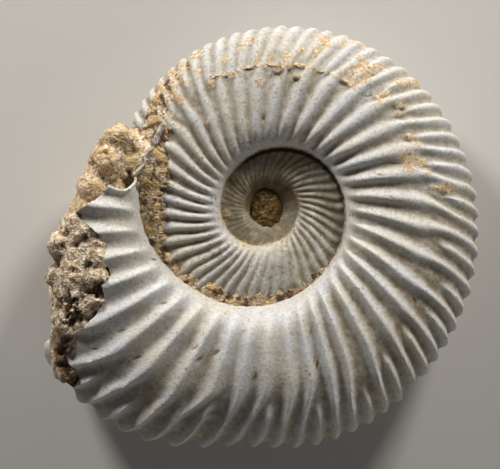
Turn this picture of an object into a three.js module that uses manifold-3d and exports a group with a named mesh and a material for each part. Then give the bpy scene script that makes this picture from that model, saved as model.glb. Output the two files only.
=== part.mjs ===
// A fossil ammonite that still holds some of its sandstone, lying on one flank.
// Millimetres, +Z up. The shell coils clockwise seen from above, and places on it are given by
// the growth angle: degrees round the coil axis from +X, rising towards the aperture.
import * as THREE from "three";
import { mergeGeometries, mergeVertices } from "three/addons/utils/BufferGeometryUtils.js";
import Module from "manifold-3d";

const wasm = await Module();
wasm.setup();

// Driving dimensions: the spiral, at growth angle 0 on the last whorl.
const VENTER_RADIUS = 42.6;
const VENTER_GROWTH = 0.1148;
const SEAM_RADIUS = 14.73;
const SEAM_GROWTH = 0.1469;
const HALF_WIDTH = 10.6;
const BODY_CHAMBER_START = 60;
const BODY_CHAMBER_WIDENING = 0.07;

// The dent across the last whorl, where growth once stopped.
const DENT_ANGLE = 97;
const DENT_REACH = 16;
const DENT_DEPTH = 0.06;

// After the dent the last whorl stays a little smaller.
const SLOWING = 0.03;
const SLOWING_FROM = 110;
const SLOWING_TO = 140;

// The umbilicus: how far it is off the venter's centre, how oval it is, and how the last whorl's seam
// flares outwards near the broken end. The first two are exponents.
const UMBILICUS_OFFSET = [0.0617, 0.0808];
const UMBILICUS_OVAL = [0.0057, -0.0387];
const SEAM_FLARE = 0.14;
const SEAM_FLARE_FROM = 120;
const SEAM_FLARE_TO = 195;

// The whorl section: its widest place, as a share of the whorl height above the seam, and the
// roundness of its outer side and of its steep umbilical side.
const WIDEST_SHARE = 0.3;
const TUCK_SHARE = 0.0115;
const OUTER_POWER = 2.15;
const INNER_POWER = 2.7;
const SEAM_DIRECTION = 150;

// The ribs. A primary starts by the umbilicus and forks in two, or stays single. Each table gives some
// ribs' numbers with their growth angles, the primaries' on the flank at the height PRIMARY_MIDDLE and
// the secondaries' on the venter, and the ribs between them are evenly spaced.
const RIB_HEIGHT_SHARE = 0.023;
const PRIMARIES = [
  [-130, -1253.2],
  [-24, -362.8],
  [-16, -297.4],
  [-10, -250.7],
  [-6, -223.1],
  [0, -172.1],
  [8, -96.4],
  [12, -53.8],
  [17, -5.1],
  [24, 58.8],
  [27, 80.5],
  [30, 105],
  [34, 143],
  [40, 198.3],
  [50, 290],
];
const SECONDARIES = [
  [-200, -1113],
  [10, -59.3],
  [17, -23.6],
  [23, 7.8],
  [27, 28.9],
  [31, 47.6],
  [34, 61.7],
  [38, 80],
  [41, 94.2],
  [43, 105.2],
  [45, 117.4],
  [48, 133.9],
  [72, 254.3],
];
const SECONDARY_STEP = 5.02;
const FORK_ADVANCE = 12.3;
const PRIMARY_MIDDLE = 0.39;
const VENTER_SWEEP = 22;

// How far a primary leans forwards from the seam to the venter, by growth angle.
const PRIMARY_LEANS = [
  [-1253, 22],
  [-400, 22],
  [-125, 18],
  [-95, 8],
  [-50, 10],
  [0, 13],
  [60, 13],
  [85, 4],
  [105, 2],
  [125, 7],
  [290, 8],
];
const FORK_FROM = 0.58;
const FORK_TO = 0.76;
const TWIN_SPREAD = 0.8;
const PRIMARY_HALF_SPAN = 0.42;
const SECONDARY_HALF_SPAN = 0.5;

// Ribs fade out by the umbilicus, between two heights, and are faint on the flank in some stretches:
// the table gives their share of the full relief by growth angle, up to a height.
const RIBS_BEGIN = 0.1;
const RIBS_FULL = 0.3;
const RIB_SHARES = [
  [-1253, 0.8],
  [-355, 0.8],
  [-325, 0.6],
  [-290, 0.4],
  [-250, 0.6],
  [-205, 1],
  [-140, 0.95],
  [-118, 0.5],
  [-95, 0.45],
  [-70, 1],
  [60, 1],
  [88, 0.6],
  [112, 1],
  [290, 1],
];
const FAINT_UP_TO = 0.55;
const FAINT_GONE = 0.75;

// How the shell's surface is divided: ribs counted at the venter, from the innermost built to the
// last one, with two columns to a rib, and rows from one seam to the next and on to the venter.
const FIRST_RIB = -84;
const LAST_RIB = 64;
const RIBS_TO_A_TURN = 74;
const COLUMNS_TO_A_RIB = 2;
const SEAM_ROWS = 4;
const VENTER_ROWS = 3;
const LAP_DIRECTION = 52;
const MIDDLE_HEIGHT = 1.1;
const MERGE_DISTANCE = 1e-4;

// The sandstone in the broken body chamber, from one growth angle to another: at even stations its
// inner radius, its outer radius and half its thickness. The shell is broken away as far as BREAK_TO,
// by a cut that goes BREAK_HEIGHT up and down and as far outwards.
const FILL_FROM = 135;
const FILL_TO = 213;
const BREAK_TO = 191;
const BREAK_HEIGHT = 20;
const FILL_STATIONS = [
  [52.4, 54, 4],
  [47, 53.4, 9.5],
  [37, 48.8, 12],
  [36, 46, 12.6],
  [34.4, 43.2, 12.9],
  [36.2, 41.4, 12],
  [33, 38, 10.4],
  [26, 36.8, 9.2],
  [25.6, 35.8, 8.8],
  [25.6, 35, 8.2],
  [26, 29.5, 4],
];
const FILL_OUTER_POWER = 2.6;
const FILL_INNER_POWER = 8;
const FILL_SIDES = 12;
const FILL_STEP = 6;

// Lumps of the sandstone, as waves of two sizes along X, Y and Z. Every wave has its own start.
const COARSE_LUMPS = { height: 0.63, rates: [0.55, 0.5, 0.6], starts: [1.1, 0.3, 0.9] };
const FINE_LUMPS = { height: 0.4, rates: [1.7, 1.5, 1.9], starts: [2.2, 1.2, 0.4] };

// Sand left in the groove between the last whorl and the one before, on both sides. It tapers at
// both ends, and past the broken end it drifts outwards.
const GROOVE_FROM = 147;
const GROOVE_FULL_FROM = 166;
const GROOVE_FULL_TO = 208;
const GROOVE_TO = 230;
const GROOVE_END_SHARE = 0.4;
const GROOVE_RADIUS = 22.6;
const GROOVE_DRIFT = 3.4;
const GROOVE_DRIFT_FROM = 185;
const GROOVE_SIDES = 6;
const GROOVE_STEPS = 10;
const GROOVE_HEIGHT = 5.6;
const GROOVE_HALF_WIDTH = 3.3;
const GROOVE_HALF_HEIGHT = 2.3;

// The oval plug in the umbilicus: where its middle is and how far it reaches from there.
const PLUG_PLACE = [0.34, -1, 1.2];
const PLUG_REACH = [3.1, 3.9, 1.1];
const PLUG_SEGMENTS = 10;
const PLUG_RINGS = 6;
const PLUG_LUMPS = { height: 0.06, rates: [5, 6], starts: [1, 2] };

// The gap between the pieces, and the tilt of the coil as it rests.
const GAP = 0.3;
const REST_TILT_X = -1.2;
const REST_TILT_Y = 2.8;

const SHELL_COLOUR = 0xd9d3c4;
const SANDSTONE_COLOUR = 0xb18e58;
const PLUG_COLOUR = 0x7d6239;

const { degToRad: rad, radToDeg: deg, lerp, smoothstep, clamp } = THREE.MathUtils;
const bell = (x) => Math.exp(-x * x);

// The spiral
function venterRadius(turn) {
  const dent = 1 - DENT_DEPTH * bell((turn - DENT_ANGLE) / DENT_REACH);
  const slowing = 1 - SLOWING * smoothstep(turn, SLOWING_FROM, SLOWING_TO);
  return VENTER_RADIUS * Math.exp(VENTER_GROWTH * rad(turn)) * dent * slowing;
}

function seamRadius(turn) {
  const a = rad(turn);
  const offset = UMBILICUS_OFFSET[0] * Math.cos(a) + UMBILICUS_OFFSET[1] * Math.sin(a);
  const oval = UMBILICUS_OVAL[0] * Math.cos(2 * a) + UMBILICUS_OVAL[1] * Math.sin(2 * a);
  const flare = 1 + SEAM_FLARE * smoothstep(turn, SEAM_FLARE_FROM, SEAM_FLARE_TO);
  return SEAM_RADIUS * Math.exp(SEAM_GROWTH * a + offset + oval) * flare;
}

function halfWidth(turn) {
  const early = VENTER_GROWTH * rad(Math.min(turn, BODY_CHAMBER_START));
  const late = BODY_CHAMBER_WIDENING * rad(Math.max(turn - BODY_CHAMBER_START, 0));
  return HALF_WIDTH * Math.exp(early + late);
}

const onCoil = (turn, radius, z) =>
  new THREE.Vector3(radius * Math.cos(rad(turn)), -radius * Math.sin(rad(turn)), z);

// The ribs

// The stretch of a table in which a value of its first column lies.
function stretchOf(table, value) {
  const found = table.findIndex(([start]) => start > value);
  const i = found < 0 ? table.length - 1 : Math.max(found, 1);
  return [table[i - 1], table[i]];
}

function lookUp(table, value) {
  const [[x0, y0], [x1, y1]] = stretchOf(table, value);
  return lerp(y0, y1, (value - x0) / (x1 - x0));
}

const swapped = (table) => table.map(([number, turn]) => [turn, number]);
const numberOfPrimary = swapped(PRIMARIES);
const numberOfSecondary = swapped(SECONDARIES);

// The primary nearest to a growth angle.
const nearestPrimary = (turn) => lookUp(PRIMARIES, Math.round(lookUp(numberOfPrimary, turn)));

// How far apart the primaries are at a growth angle.
function primaryStep(turn) {
  const [[start, first], [end, last]] = stretchOf(numberOfPrimary, turn);
  return (end - start) / (last - first);
}

// Each secondary with the primary that it springs from.
const SPARE_RIBS = 6;
const secondaries = new Map();
for (let k = FIRST_RIB - RIBS_TO_A_TURN; k <= LAST_RIB + SPARE_RIBS; k++) {
  const venter = lookUp(SECONDARIES, k);
  secondaries.set(k, { venter, primary: nearestPrimary(venter - FORK_ADVANCE), side: 0 });
}
for (const [k, rib] of secondaries) {
  if (secondaries.get(k + 1)?.primary === rib.primary) rib.side = -1;
  else if (secondaries.get(k - 1)?.primary === rib.primary) rib.side = 1;
}

// The growth angle of rib k at a height from 0 at the seam to 1 at the middle of the venter.
function ribTurn(k, height) {
  const rib = secondaries.get(k);
  const lean = lookUp(PRIMARY_LEANS, rib.primary);
  const low = rib.primary + lean * (height - PRIMARY_MIDDLE) + TWIN_SPREAD * rib.side;
  const high = rib.venter - VENTER_SWEEP * (1 - height);
  return lerp(low, high, smoothstep(height, FORK_FROM, FORK_TO));
}

function columnTurn(column, height) {
  const k = Math.floor(column);
  return lerp(ribTurn(k, height), ribTurn(k + 1, height), column - k);
}

// How far the surface is below the rib crests, from 0 on a crest to 1 between the ribs.
function troughDepth(turn, height) {
  const forked = smoothstep(height, FORK_FROM, FORK_TO);
  const nearest = Math.round(lookUp(numberOfSecondary, turn + VENTER_SWEEP * (1 - height)));
  const primarySpan = PRIMARY_HALF_SPAN * primaryStep(turn);
  const halfSpan = lerp(primarySpan, SECONDARY_HALF_SPAN * SECONDARY_STEP, forked);
  let crest = 0;
  for (let k = nearest - 3; k <= nearest + 3; k++) {
    if (!secondaries.has(k)) continue;
    const away = Math.abs(turn - ribTurn(k, height)) / halfSpan;
    if (away < 1) crest = Math.max(crest, 0.5 + 0.5 * Math.cos(Math.PI * away));
  }
  const relief = lerp(lookUp(RIB_SHARES, turn), 1, smoothstep(height, FAINT_UP_TO, FAINT_GONE));
  return (1 - crest) * smoothstep(height, RIBS_BEGIN, RIBS_FULL) * relief;
}

// The section's widest radius, its two radial reaches and its half width.
function section(turn) {
  const seam = seamRadius(turn);
  const tall = venterRadius(turn) - seam;
  return {
    middle: seam + WIDEST_SHARE * tall,
    outer: (1 - WIDEST_SHARE) * tall,
    inner: (WIDEST_SHARE + TUCK_SHARE) * tall,
    half: halfWidth(turn),
  };
}

// Directions in the section go from 0 at the venter to 180 at the dorsum.
const heightOf = (direction) => clamp(1 - direction / SEAM_DIRECTION, 0, 1);

// The direction in which the flank is at a radius outside the widest place.
function directionAt(turn, radius) {
  const { middle, outer, half } = section(turn);
  const across = radius - middle;
  const z = half * (1 - (across / outer) ** OUTER_POWER) ** (1 / OUTER_POWER);
  return deg(Math.atan2(z, across));
}

// A point of the whorl's skin, on the upper side or, with side -1, on the lower one.
function whorlPoint(turn, direction, side) {
  const { middle, outer, inner, half } = section(turn);
  const c = Math.cos(rad(direction));
  const s = Math.sin(rad(direction));
  const power = c > 0 ? OUTER_POWER : INNER_POWER;
  const size = (Math.abs(c) / (c > 0 ? outer : inner)) ** power + (s / half) ** power;
  const relief = RIB_HEIGHT_SHARE * venterRadius(turn) * troughDepth(turn, heightOf(direction));
  const distance = size ** (-1 / power) - relief;
  return onCoil(turn, middle + distance * c, side * distance * s);
}

// Where a whorl starts, on the flank of the one before.
function seamPoint(rib, side) {
  const turn = columnTurn(rib, 0);
  const earlier = turn - 360;
  return whorlPoint(earlier, directionAt(earlier, seamRadius(turn)), side);
}

// The skin by rib and row. Rows count from the whorl's own seam over the next seam to the venter.
function skinPoint(rib, row, side) {
  if (row === 0 && rib >= FIRST_RIB + RIBS_TO_A_TURN) return seamPoint(rib, side);
  const covered = rib <= LAST_RIB - RIBS_TO_A_TURN;
  if (row === SEAM_ROWS && covered) return seamPoint(rib + RIBS_TO_A_TURN, side);
  const lap = columnTurn(rib, heightOf(LAP_DIRECTION));
  const lapDirection = covered ? directionAt(lap, seamRadius(lap + 360)) : LAP_DIRECTION;
  const direction =
    row < SEAM_ROWS
      ? lerp(SEAM_DIRECTION, lapDirection, row / SEAM_ROWS)
      : lerp(lapDirection, 0, (row - SEAM_ROWS) / VENTER_ROWS);
  return whorlPoint(columnTurn(rib, heightOf(direction)), direction, side);
}

// A grid of points as a sheet. place gets whole numbers: columns run along the coil and rows
// outwards, which turns the sheet's face up.
function sheet(columns, rows, place) {
  const geometry = new THREE.PlaneGeometry(columns, rows, columns, rows);
  geometry.deleteAttribute("uv");
  geometry.deleteAttribute("normal");
  const position = geometry.attributes.position;
  for (let i = 0; i < position.count; i++) {
    const column = Math.round(position.getX(i) + columns / 2);
    const row = Math.round(position.getY(i) + rows / 2);
    position.setXYZ(i, ...place(column, row));
  }
  return geometry;
}

// Sheets whose edges meet make one solid. A triangle that lost its area where points meet goes.
function closeSheets(sheets) {
  const joined = mergeVertices(mergeGeometries(sheets), MERGE_DISTANCE);
  const corners = joined.index.array;
  const triVerts = [];
  for (let i = 0; i < corners.length; i += 3) {
    const [a, b, c] = corners.subarray(i, i + 3);
    if (a !== b && b !== c && c !== a) triVerts.push(a, b, c);
  }
  const vertProperties = joined.attributes.position.array;
  return new wasm.Manifold(
    new wasm.Mesh({ numProp: 3, vertProperties, triVerts: new Uint32Array(triVerts) }),
  );
}

function buildShell() {
  const openRib = LAST_RIB - RIBS_TO_A_TURN;
  const rows = SEAM_ROWS + VENTER_ROWS;
  const coveredColumns = (openRib - FIRST_RIB) * COLUMNS_TO_A_RIB;
  const openColumns = RIBS_TO_A_TURN * COLUMNS_TO_A_RIB;
  const rimRow = (rib, row) =>
    row <= rows ? skinPoint(rib, row, 1) : skinPoint(rib, 2 * rows - row, -1);
  const upper = sheet(coveredColumns, SEAM_ROWS, (column, row) =>
    skinPoint(FIRST_RIB + column / COLUMNS_TO_A_RIB, row, 1),
  );
  const lower = sheet(coveredColumns, SEAM_ROWS, (column, row) =>
    skinPoint(FIRST_RIB + column / COLUMNS_TO_A_RIB, SEAM_ROWS - row, -1),
  );
  const last = sheet(openColumns, 2 * rows, (column, row) =>
    rimRow(openRib + column / COLUMNS_TO_A_RIB, row),
  );
  const end = sheet(1, 2 * rows, (column, row) => {
    if (column === 0) return rimRow(LAST_RIB, row);
    return rimRow(openRib, SEAM_ROWS + Math.round((row / rows) * VENTER_ROWS));
  });
  const middle = (side) =>
    sheet(SEAM_ROWS + openColumns, 1, (column, row) => {
      if ((side > 0) === (row === 0)) return new THREE.Vector3(0, 0, side * MIDDLE_HEIGHT);
      if (column <= SEAM_ROWS) return skinPoint(FIRST_RIB, SEAM_ROWS - column, side);
      return skinPoint(FIRST_RIB + (column - SEAM_ROWS) / COLUMNS_TO_A_RIB, 0, side);
    });
  return closeSheets([upper, lower, last, end, middle(1), middle(-1)]);
}

// A capped cylinder bent along the coil. place(along, direction, out) gives its points: along runs
// from 0 to 1, and out is 0 in the middle of a cap and 1 on the skin.
function bentTube(sides, steps, place) {
  const geometry = new THREE.CylinderGeometry(1, 1, 1, sides, steps);
  return toSolid(geometry, (p) => {
    const out = Math.round(Math.hypot(p.x, p.z));
    return place(0.5 - p.y, deg(Math.atan2(-p.x, p.z)), out);
  });
}

// A closed three.js shape as a solid, with each of its points moved.
function toSolid(geometry, move) {
  geometry.deleteAttribute("uv");
  geometry.deleteAttribute("normal");
  const merged = mergeVertices(geometry, MERGE_DISTANCE);
  const position = merged.attributes.position;
  const point = new THREE.Vector3();
  for (let i = 0; i < position.count; i++) {
    position.setXYZ(i, ...move(point.fromBufferAttribute(position, i)));
  }
  return closeSheets([merged]);
}

// The height of a set of lumps at a place.
const lumpHeight = ({ height, rates, starts }, place) =>
  rates.reduce((product, rate, i) => product * Math.sin(rate * place[i] + starts[i]), height);

const fillShape = new THREE.CatmullRomCurve3(FILL_STATIONS.map((s) => new THREE.Vector3(...s)));

// The sandstone of the broken body chamber. extra makes it larger all round and tallest makes it
// higher and wider still, both for the cut.
function fillBody(from, to, extra, tallest) {
  return bentTube(FILL_SIDES, Math.round((to - from) / FILL_STEP), (along, direction, out) => {
    const turn = lerp(from, to, along);
    const station = fillShape.getPoint((turn - FILL_FROM) / (FILL_TO - FILL_FROM));
    const inner = station.x - extra;
    const outer = station.y + extra + tallest;
    const half = Math.max(station.z, tallest) + extra;
    const c = Math.cos(rad(direction));
    const s = Math.sin(rad(direction));
    const power = c > 0 ? FILL_OUTER_POWER : FILL_INNER_POWER;
    const reach = (outer - inner) / 2;
    const size = (Math.abs(c) / reach) ** power + (Math.abs(s) / half) ** power;
    const skin = out * size ** (-1 / power);
    const point = onCoil(turn, (inner + outer) / 2 + skin * c, skin * s);
    if (c <= 0) return point;
    const place = point.toArray();
    const lump = lumpHeight(COARSE_LUMPS, place) + lumpHeight(FINE_LUMPS, place);
    return point.multiplyScalar(1 + (out * c * lump) / point.length());
  });
}

// The sand in the groove beside the last whorl's wall, on one side of the shell.
function grooveFill(side, extra) {
  return bentTube(GROOVE_SIDES, GROOVE_STEPS, (along, direction, out) => {
    const turn = lerp(GROOVE_FROM - extra, GROOVE_TO + extra, along);
    const start = smoothstep(turn, GROOVE_FROM, GROOVE_FULL_FROM);
    const full = start - smoothstep(turn, GROOVE_FULL_TO, GROOVE_TO);
    const share = lerp(GROOVE_END_SHARE, 1, full);
    const radius = GROOVE_RADIUS + GROOVE_DRIFT * smoothstep(turn, GROOVE_DRIFT_FROM, GROOVE_TO);
    const wide = out * (GROOVE_HALF_WIDTH * share + extra);
    const high = out * (GROOVE_HALF_HEIGHT * share + extra);
    const z = side * GROOVE_HEIGHT + high * Math.sin(rad(direction));
    return onCoil(turn, radius + wide * Math.cos(rad(direction)), z);
  });
}

// The sandy plug in the middle of the umbilicus, on one side of the shell.
function plug(side, extra) {
  const [reachX, reachY, reachZ] = PLUG_REACH.map((r) => r + extra);
  return toSolid(new THREE.SphereGeometry(1, PLUG_SEGMENTS, PLUG_RINGS), (p) => {
    const rough = 1 + lumpHeight(PLUG_LUMPS, p.toArray());
    return new THREE.Vector3(
      PLUG_PLACE[0] + reachX * rough * p.x,
      PLUG_PLACE[1] + reachY * rough * p.y,
      side * PLUG_PLACE[2] + reachZ * rough * p.z,
    );
  });
}

const buildSandstone = (extra) =>
  fillBody(FILL_FROM, FILL_TO, extra, 0).add(grooveFill(1, extra)).add(grooveFill(-1, extra));

// The one large body, without crumbs that a cut leaves loose.
const wholeBody = (solid) => solid.decompose().reduce((a, b) => (b.volume() > a.volume() ? b : a));

const broken = fillBody(FILL_FROM, BREAK_TO, GAP, BREAK_HEIGHT);
const sandstone = buildSandstone(0);
const shell = wholeBody(
  buildShell()
    .subtract(broken)
    .subtract(buildSandstone(GAP))
    .subtract(plug(1, GAP))
    .subtract(plug(-1, GAP)),
);

// The scene graph: the coil lies tilted on its flank, and the group's origin is under its middle.
const coil = new THREE.Group();
function addMesh(name, body, colour, roughness) {
  const made = body.getMesh();
  const geometry = new THREE.BufferGeometry();
  geometry.setAttribute("position", new THREE.BufferAttribute(made.vertProperties, 3));
  geometry.setIndex(new THREE.BufferAttribute(made.triVerts, 1));
  geometry.computeVertexNormals();
  const material = new THREE.MeshStandardMaterial({ color: colour, roughness, metalness: 0 });
  const mesh = new THREE.Mesh(geometry, material);
  mesh.name = name;
  coil.add(mesh);
}
addMesh("shell", shell, SHELL_COLOUR, 0.6);
addMesh("body_chamber_sandstone", sandstone, SANDSTONE_COLOUR, 0.95);
addMesh("umbilicus_plug_upper", plug(1, 0), PLUG_COLOUR, 0.95);
addMesh("umbilicus_plug_lower", plug(-1, 0), PLUG_COLOUR, 0.95);

coil.rotation.set(rad(REST_TILT_X), rad(REST_TILT_Y), 0);
const ammonite = new THREE.Group();
ammonite.add(coil);
ammonite.updateMatrixWorld(true);
const box = new THREE.Box3().setFromObject(coil, true);
const middle = box.getCenter(new THREE.Vector3());
coil.position.set(-middle.x, -middle.y, -box.min.z);

export default ammonite;
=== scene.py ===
import bpy
import numpy as np
from mathutils import Matrix, Vector, noise


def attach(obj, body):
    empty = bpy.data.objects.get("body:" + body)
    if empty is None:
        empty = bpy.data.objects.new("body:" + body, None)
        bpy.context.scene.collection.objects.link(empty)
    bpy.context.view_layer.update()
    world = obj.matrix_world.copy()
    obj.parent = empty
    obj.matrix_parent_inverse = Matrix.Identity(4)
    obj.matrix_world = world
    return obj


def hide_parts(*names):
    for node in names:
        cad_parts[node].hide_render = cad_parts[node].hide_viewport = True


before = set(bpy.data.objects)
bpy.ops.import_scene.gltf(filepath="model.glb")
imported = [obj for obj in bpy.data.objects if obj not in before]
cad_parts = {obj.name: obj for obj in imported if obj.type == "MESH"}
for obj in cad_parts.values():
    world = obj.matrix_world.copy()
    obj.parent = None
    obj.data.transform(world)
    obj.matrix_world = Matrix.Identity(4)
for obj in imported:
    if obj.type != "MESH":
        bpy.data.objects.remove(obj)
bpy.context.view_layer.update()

# The shell: one coiled tube of white, chalky calcite, each whorl grown over the one before. Its skin
# is made of sheets whose points follow the spiral and its ribs, merged to one closed body. The end
# of the last whorl is then broken away with a boolean cut, which leaves a thin ragged rim.
MM = 0.001
MERGE_DISTANCE = 0.001
# The spirals of the venter and of the seam, the width, and how the last whorl departs from them. Its
# dent is given as depth, growth angle and reach.
VENTER_RADIUS = 42.6
VENTER_GROWTH = 0.1148
SEAM_RADIUS = 14.73
SEAM_GROWTH = 0.1469
HALF_WIDTH = 10.6
BODY_CHAMBER_START = 60
BODY_CHAMBER_WIDENING = 0.07
DENT = (0.06, 97, 16)
SLOWING = 0.03
SLOWING_TURNS = (110, 140)
UMBILICUS_OFFSET = (0.0617, 0.0808)
UMBILICUS_OVAL = (0.0057, -0.0387)
SEAM_FLARE = 0.14
SEAM_FLARE_TURNS = (120, 195)

# The section of a whorl.
WIDEST_SHARE = 0.3
TUCK_SHARE = 0.0115
OUTER_POWER = 2.15
INNER_POWER = 2.7
SEAM_DIRECTION = 150

# The ribs, numbered along the coil, with the growth angle at which a primary crosses the middle of the
# flank and a secondary reaches the venter. A lean is in degrees for the whole flank.
RIB_HEIGHT_SHARE = 0.023
PRIMARY_NUMBERS = [-130, -24, -16, -10, -6, 0, 8, 12, 17, 20, 24, 27, 30, 34, 40, 50]
PRIMARY_TURNS = [
    -1253.2, -362.8, -297.4, -250.7, -223.1, -172.1, -96.4, -53.8, -3.9, 24.8, 60.2, 80.7, 105, 143, 198.3,
    290,
]
SECONDARY_NUMBERS = [-200, 10, 17, 23, 27, 31, 34, 38, 41, 43, 45, 48, 72]
SECONDARY_TURNS = [-1113, -59.3, -23.6, 7.8, 28.9, 47.6, 61.7, 80, 94.2, 105.2, 117.4, 133.9, 254.3]
LEAN_TURNS = [-400, -125, -95, -50, -10, 30, 60, 85, 105, 125, 200]
LEANS = [22, 18, 8, 7, 8, 13, 10, 4, 2, 7, 8]
SECONDARY_STEP = 5.02
PRIMARY_MIDDLE = 0.39
VENTER_SWEEP = 22

# The grid of points: its columns follow the ribs and its rows run round the section.
FIRST_RIB = -122
LAST_RIB = 64
RIBS_TO_A_TURN = 74
COLUMN_SHARES = [0, 0.12, 0.24, 0.37, 0.5, 0.63, 0.76, 0.88]
SEAM_ROWS = 22
VENTER_ROWS = 20
LAP_DIRECTION = 52
MIDDLE_HEIGHT = 0.4
MIDDLE_RIBS = 30
MIDDLE_RELIEF = 0.05

# Where the coil's middle lies, and its tilt in degrees.
COIL_PLACE = (0.200, 6.399, 12.118)
REST_TILT = (-1.2, 2.8)


def bell(value):
    return np.exp(-value * value)


def smooth(value, low, high):
    share = np.clip((value - low) / (high - low), 0, 1)
    return share * share * (3 - 2 * share)


def lerp(start, end, share):
    return start + (end - start) * share


def within(value, low, high):
    return (value > low) & (value < high)


def fading(value, strength, low, high):
    """A strength that fades away between two values."""
    return strength * (1 - smooth(value, low, high))


def swells(turn, table):
    """The sum of smooth swells: how much each adds, round which growth angle, and how far it reaches."""
    return sum(amount * bell((turn - middle) / reach) for amount, middle, reach in table)


def venter_radius(turn):
    dent = 1 - swells(turn, [DENT])
    slowing = 1 - SLOWING * smooth(turn, *SLOWING_TURNS)
    return VENTER_RADIUS * np.exp(VENTER_GROWTH * np.radians(turn)) * dent * slowing


def seam_radius(turn):
    angle = np.radians(turn)
    offset = UMBILICUS_OFFSET[0] * np.cos(angle) + UMBILICUS_OFFSET[1] * np.sin(angle)
    oval = UMBILICUS_OVAL[0] * np.cos(2 * angle) + UMBILICUS_OVAL[1] * np.sin(2 * angle)
    flare = 1 + SEAM_FLARE * smooth(turn, *SEAM_FLARE_TURNS)
    return SEAM_RADIUS * np.exp(SEAM_GROWTH * angle + offset + oval) * flare


def half_width(turn):
    early = VENTER_GROWTH * np.radians(np.minimum(turn, BODY_CHAMBER_START))
    late = BODY_CHAMBER_WIDENING * np.radians(np.maximum(turn - BODY_CHAMBER_START, 0))
    return HALF_WIDTH * np.exp(early + late)


def on_coil(turn, radius, z):
    angle = np.radians(turn)
    return np.stack(np.broadcast_arrays(radius * np.cos(angle), -radius * np.sin(angle), z), axis=-1)


# The secondary that a primary runs on into is about RUNS_INTO degrees ahead of it. The others start freely
# between two primaries, at a height of their own.
RUNS_INTO = 9.7
JOIN_HEIGHTS = (0.6, 0.84)
FREE_FROM = 0.69
FREE_UNEVENNESS = 0.04
FREE_RHYTHM = 2.4
FREE_LATER = 0.08
FREE_LATER_TURNS = (110, 140)
FREE_LENGTH = 0.12
PRIMARY_RANGE = (-100, 50)
SPARE_RIBS = (4, 8)
primaries = np.interp(np.arange(*PRIMARY_RANGE), PRIMARY_NUMBERS, PRIMARY_TURNS)
first_secondary = FIRST_RIB - RIBS_TO_A_TURN - SPARE_RIBS[0]
secondary_numbers = np.arange(first_secondary, LAST_RIB + SPARE_RIBS[1])
secondary_venters = np.interp(secondary_numbers, SECONDARY_NUMBERS, SECONDARY_TURNS)
run_into = np.abs(secondary_venters[None, :] - primaries[:, None] - RUNS_INTO).argmin(axis=1)
is_free = np.ones(len(secondary_numbers), dtype=bool)
is_free[run_into] = False
sources = secondary_venters.copy()
sources[run_into] = primaries
free_starts = FREE_FROM + FREE_UNEVENNESS * np.sin(FREE_RHYTHM * secondary_numbers)
free_starts += FREE_LATER * smooth(secondary_venters, *FREE_LATER_TURNS)

# A column of points runs about along a primary low on the flank and along a secondary by the venter.
COLUMN_LAG = 12
COLUMN_LEAN = 18
COLUMN_BEND = (0.5, 0.9)


def column_turn(rib, height):
    """The growth angle of a column of points, at a height from 0 at the seam to 1 at the venter."""
    venter = np.interp(rib, SECONDARY_NUMBERS, SECONDARY_TURNS)
    low = venter - COLUMN_LAG + COLUMN_LEAN * (height - PRIMARY_MIDDLE)
    return lerp(low, venter - VENTER_SWEEP * (1 - height), smooth(height, *COLUMN_BEND))


# Which ribs can shape a place, and how a rib that starts there is kept away below its start.
NEAR_RIBS = 4
MISSING_DISTANCE = 1.5
TINY = 1e-30
# Round the dent the secondaries are straighter below this height: degrees, growth angle and reach.
STRAIGHTENING = (12, 72, 30)
STRAIGHT_BELOW = 0.82
# The heights between which the spacing changes from the primaries' to the secondaries'.
SPACING_HEIGHTS = (0.64, 0.76)
# Crests are broad on the early whorls and sharper on the last one.
CREST_ROUNDING = 0.22
CREST_POWER = 1.5
EARLY_CREST_BREADTH = 1.35
SHARPENING_TURNS = (-60, 60)
FURROW_SOFTNESS = 7
# The smooth margin by the seam, where it is wider, and the shares of it over which the ribs rise.
NARROW_MARGIN = 0.16
WIDER_MARGINS = [(0.12, 88, 45), (0.12, -205, 70), (0.1, -90, 35)]
MARGIN_RISE = (0.35, 1.2)
# How high the ribs are: low on the flank by these tables, and full above it but for a flatter top.
RELIEF_TURNS = [
    -720, -620, -520, -440, -400, -355, -330, -310, -290, -270, -250, -235, -205, -160, -135, -118, -95, -78,
    -60, 60, 88, 112, 200,
]
RELIEF_SHARES = [
    0, 0.1, 0.15, 0.25, 0.5, 0.8, 0.6, 0.65, 0.35, 0.35, 0.6, 0.7, 1, 1, 0.95, 0.6, 0.5, 0.9,
    1.05, 1, 0.65, 0.9, 0.95,
]
RELIEF_HEIGHTS = (0.55, 0.75)
FULL_TURNS = (-400, -200)
FLATTER_TOP = [(0.45, -97, 38)]


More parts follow.
